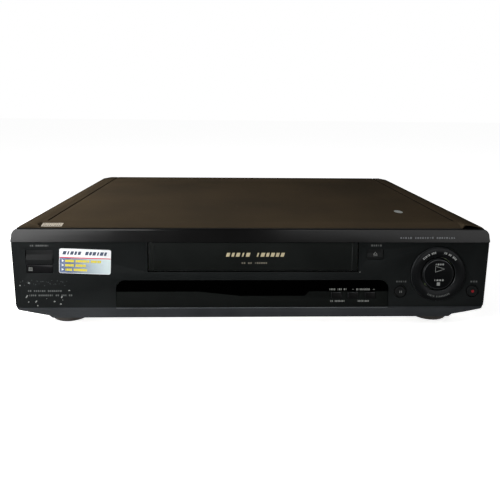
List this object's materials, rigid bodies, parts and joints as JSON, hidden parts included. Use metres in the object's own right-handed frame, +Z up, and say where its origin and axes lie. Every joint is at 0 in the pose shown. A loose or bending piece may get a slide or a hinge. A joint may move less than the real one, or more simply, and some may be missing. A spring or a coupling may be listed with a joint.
{
  "type": "vhs video cassette recorder",
  "caption": "Full-width front-loading video cassette recorder with a cassette door, shuttle ring, display window, tape deck and cassette lift.",
  "frame": {"origin": "on the table under the middle of the recorder's bounding box", "axes": "+X to the right as seen from the front, -Y towards the viewer (front panel), +Z up"},
  "size_m": [0.4334, 0.29, 0.096],
  "materials": {
    "black_plastic": "fine matte black moulding",
    "key_plastic": "satin black moulding",
    "gloss_black": "gloss black, tinted",
    "brown_paint": "satin dark brown paint on sheet steel",
    "foot_rubber": "dark rubber",
    "plated_steel": "zinc plated sheet",
    "cast_aluminium": "cast and machined",
    "polished_metal": "polished",
    "circuit_board": "brown laminate",
    "white_plastic": "white moulding",
    "copper_winding": "taped copper winding on a ferrite core",
    "tube_glass": "dark display glass",
    "roller_rubber": "matte black rubber"
  },
  "bodies": {
    "chassis": {"front_panel": "black_plastic", "top_cover": "brown_paint", "chassis_tray": "plated_steel", "rear_panel": "plated_steel", "front_left_foot": "foot_rubber", "front_right_foot": "foot_rubber", "rear_left_foot": "foot_rubber", "rear_right_foot": "foot_rubber", "display_window": "gloss_black", "sensor_window": "gloss_black", "display_board": "circuit_board", "power_key_board": "circuit_board", "control_key_board": "circuit_board", "display_tube": "tube_glass", "main_board": "circuit_board", "power_board": "circuit_board", "power_transformer": "copper_winding", "mains_capacitor": "gloss_black", "heat_sink": "cast_aluminium", "scart_socket_left": "black_plastic", "scart_socket_right": "black_plastic", "aerial_tuner": "plated_steel", "audio_sockets": "black_plastic", "mains_inlet": "black_plastic", "deck_plate": "plated_steel", "lower_drum": "cast_aluminium", "capstan_motor_stator": "circuit_board", "erase_head": "gloss_black", "audio_control_head": "plated_steel", "loading_motor": "plated_steel", "left_lift_bracket": "plated_steel", "right_lift_bracket": "plated_steel"},
    "cassette_door": {"cassette_door": "black_plastic"},
    "power_button": {"power_button": "key_plastic"},
    "eject_button": {"eject_button": "key_plastic"},
    "shuttle_ring": {"shuttle_ring": "key_plastic"},
    "play_stop_rocker": {"play_stop_rocker": "key_plastic"},
    "pause_button": {"pause_button": "key_plastic"},
    "record_button": {"record_button": "key_plastic"},
    "setup_button": {"setup_button": "key_plastic"},
    "program_down_button": {"program_down_button": "key_plastic"},
    "program_up_button": {"program_up_button": "key_plastic"},
    "cassette_carriage": {"cassette_carriage": "plated_steel"},
    "cassette_holder": {"cassette_holder": "plated_steel"},
    "upper_drum": {"upper_drum": "polished_metal"},
    "supply_reel_table": {"supply_reel_table": "white_plastic"},
    "takeup_reel_table": {"takeup_reel_table": "white_plastic"},
    "capstan": {"capstan": "polished_metal"},
    "pinch_roller_arm": {"pinch_roller_arm": "plated_steel"},
    "pinch_roller": {"pinch_roller": "roller_rubber"},
    "supply_loading_guide": {"supply_loading_guide": "cast_aluminium"},
    "takeup_loading_guide": {"takeup_loading_guide": "cast_aluminium"}
  },
  "joints": [
    {"name": "door_swing", "type": "hinge", "parent": "chassis", "child": "cassette_door", "pos_m": [0, -0.141, 0.0809], "axis": [-1, 0, 0], "range_deg": [-88, 0], "stiffness_Nm_per_rad": 0.004, "springref_deg": 20.05},
    {"name": "power_press", "type": "slide", "parent": "chassis", "child": "power_button", "axis": [0, 1, 0], "range_m": [0, 0.0015], "stiffness_N_per_m": 400},
    {"name": "eject_press", "type": "slide", "parent": "chassis", "child": "eject_button", "axis": [0, 1, 0], "range_m": [0, 0.0015], "stiffness_N_per_m": 400},
    {"name": "shuttle_turn", "type": "hinge", "parent": "chassis", "child": "shuttle_ring", "pos_m": [0.17, -0.1356, 0.0501], "axis": [0, 1, 0], "range_deg": [-70, 70], "stiffness_Nm_per_rad": 0.02},
    {"name": "play_stop_tilt", "type": "hinge", "parent": "chassis", "child": "play_stop_rocker", "pos_m": [0.17, -0.1414, 0.0501], "axis": [1, 0, 0], "range_deg": [-3, 3], "stiffness_Nm_per_rad": 0.5},
    {"name": "pause_press", "type": "slide", "parent": "chassis", "child": "pause_button", "axis": [0, 1, 0], "range_m": [0, 0.0015], "stiffness_N_per_m": 400},
    {"name": "record_press", "type": "slide", "parent": "chassis", "child": "record_button", "axis": [0, 1, 0], "range_m": [0, 0.0015], "stiffness_N_per_m": 400},
    {"name": "setup_press", "type": "slide", "parent": "chassis", "child": "setup_button", "axis": [0, 1, 0], "range_m": [0, 0.001], "stiffness_N_per_m": 400},
    {"name": "program_down_press", "type": "slide", "parent": "chassis", "child": "program_down_button", "axis": [0, 1, 0], "range_m": [0, 0.001], "stiffness_N_per_m": 400},
    {"name": "program_up_press", "type": "slide", "parent": "chassis", "child": "program_up_button", "axis": [0, 1, 0], "range_m": [0, 0.001], "stiffness_N_per_m": 400},
    {"name": "carriage_in", "type": "slide", "parent": "chassis", "child": "cassette_carriage", "axis": [0, 1, 0], "range_m": [0, 0.038]},
    {"name": "holder_down", "type": "slide", "parent": "cassette_carriage", "child": "cassette_holder", "axis": [0, 0, -1], "range_m": [0, 0.02]},
    {"name": "drum_spin", "type": "hinge", "parent": "chassis", "child": "upper_drum", "pos_m": [-0.006, 0.054, 0.0295], "axis": [0, -0.1028, 0.9947], "continuous": true},
    {"name": "supply_reel_spin", "type": "hinge", "parent": "chassis", "child": "supply_reel_table", "pos_m": [-0.046, -0.058, 0.0255], "axis": [0, 0, 1], "continuous": true},
    {"name": "takeup_reel_spin", "type": "hinge", "parent": "chassis", "child": "takeup_reel_table", "pos_m": [0.046, -0.058, 0.0255], "axis": [0, 0, 1], "continuous": true},
    {"name": "capstan_spin", "type": "hinge", "parent": "chassis", "child": "capstan", "pos_m": [0.048, 0.016, 0.018], "axis": [0, 0, 1], "continuous": true},
    {"name": "pinch_arm_swing", "type": "hinge", "parent": "chassis", "child": "pinch_roller_arm", "pos_m": [0.07, 0.0076, 0.0264], "axis": [0, 0, -1], "range_deg": [0, 35]},
    {"name": "pinch_roller_spin", "type": "hinge", "parent": "pinch_roller_arm", "child": "pinch_roller", "pos_m": [0.05198, -0.00502, 0.0302], "axis": [0, 0, 1], "continuous": true},
    {"name": "supply_guide_load", "type": "slide", "parent": "chassis", "child": "supply_loading_guide", "axis": [-0.2631, 0.9648, 0], "range_m": [0, 0.0684]},
    {"name": "takeup_guide_load", "type": "slide", "parent": "chassis", "child": "takeup_loading_guide", "axis": [0.2631, 0.9648, 0], "range_m": [0, 0.0684]}
  ],
  "couplings": [
    {"joint": "takeup_guide_load", "follows": "supply_guide_load", "ratio": 1}
  ]
}
